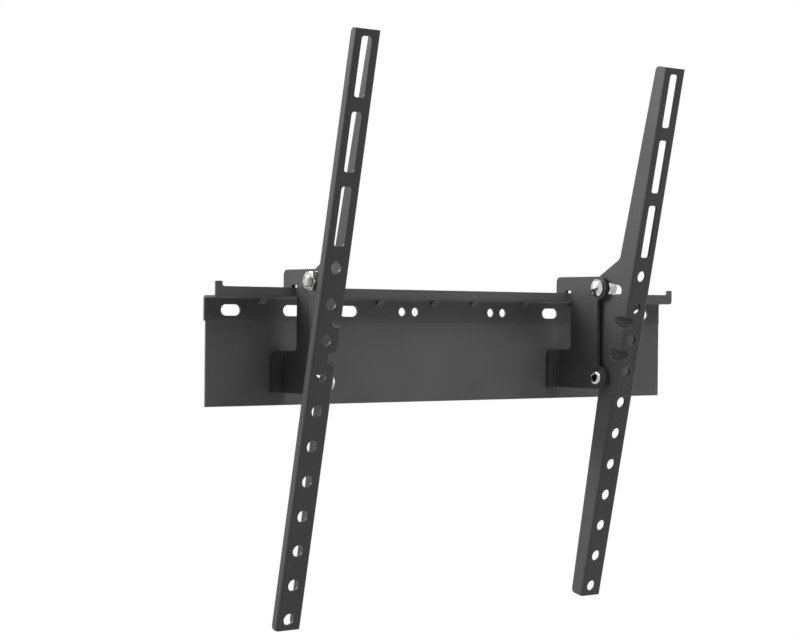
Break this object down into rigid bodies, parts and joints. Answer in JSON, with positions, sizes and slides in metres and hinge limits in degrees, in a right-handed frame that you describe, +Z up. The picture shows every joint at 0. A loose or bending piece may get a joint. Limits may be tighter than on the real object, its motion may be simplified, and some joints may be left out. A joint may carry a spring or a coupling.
{
  "type": "tilting tv wall bracket",
  "caption": "Wall plate with a folded rail, sliding hook brackets and tall channel arms that tilt, for holding a flat screen on a wall.",
  "frame": {"origin": "centre of the row of wall slots, on the wall's surface at the back of the plate", "axes": "+X to the right seen from the room, +Y into the wall, +Z up"},
  "size_m": [0.4458, 0.1178, 0.4111],
  "materials": {
    "plate_powder_coat": "semi-gloss dark grey powder coat on folded steel",
    "arm_powder_coat": "satin dark grey powder coat on folded steel",
    "bracket_powder_coat": "satin dark grey powder coat on flat steel",
    "bright_zinc": "bright zinc plating",
    "zinc_fasteners": "bright zinc plating",
    "black_nylon": "moulded nylon"
  },
  "bodies": {
    "fixed_rail": {"wall_plate": "plate_powder_coat"},
    "left_carriage": {"left_bracket": "bracket_powder_coat", "left_lock_bolt": "bright_zinc", "left_lock_spacer": "black_nylon", "left_lock_washer": "bright_zinc", "left_lock_nut": "bright_zinc", "left_pivot_bolt": "zinc_fasteners", "left_pivot_spacer": "black_nylon", "left_pivot_washer": "zinc_fasteners", "left_pivot_nut": "zinc_fasteners"},
    "left_tilting_arm": {"left_arm": "arm_powder_coat"},
    "right_carriage": {"right_bracket": "bracket_powder_coat", "right_lock_bolt": "bright_zinc", "right_lock_spacer": "black_nylon", "right_lock_washer": "bright_zinc", "right_lock_nut": "bright_zinc", "right_pivot_bolt": "zinc_fasteners", "right_pivot_spacer": "black_nylon", "right_pivot_washer": "zinc_fasteners", "right_pivot_nut": "zinc_fasteners"},
    "right_tilting_arm": {"right_arm": "arm_powder_coat"}
  },
  "joints": [
    {"name": "left_slide", "type": "slide", "parent": "fixed_rail", "child": "left_carriage", "axis": [1, 0, 0], "range_m": [-0.0594, 0.146]},
    {"name": "right_slide", "type": "slide", "parent": "fixed_rail", "child": "right_carriage", "axis": [1, 0, 0], "range_m": [-0.095, 0.108]},
    {"name": "left_tilt", "type": "hinge", "parent": "left_carriage", "child": "left_tilting_arm", "pos_m": [-0.17015, -0.0495, -0.0497], "axis": [1, 0, 0], "range_deg": [-14.2, 2.8]},
    {"name": "right_tilt", "type": "hinge", "parent": "right_carriage", "child": "right_tilting_arm", "pos_m": [0.11955, -0.0495, -0.0497], "axis": [1, 0, 0], "range_deg": [-14.2, 2.8]}
  ]
}
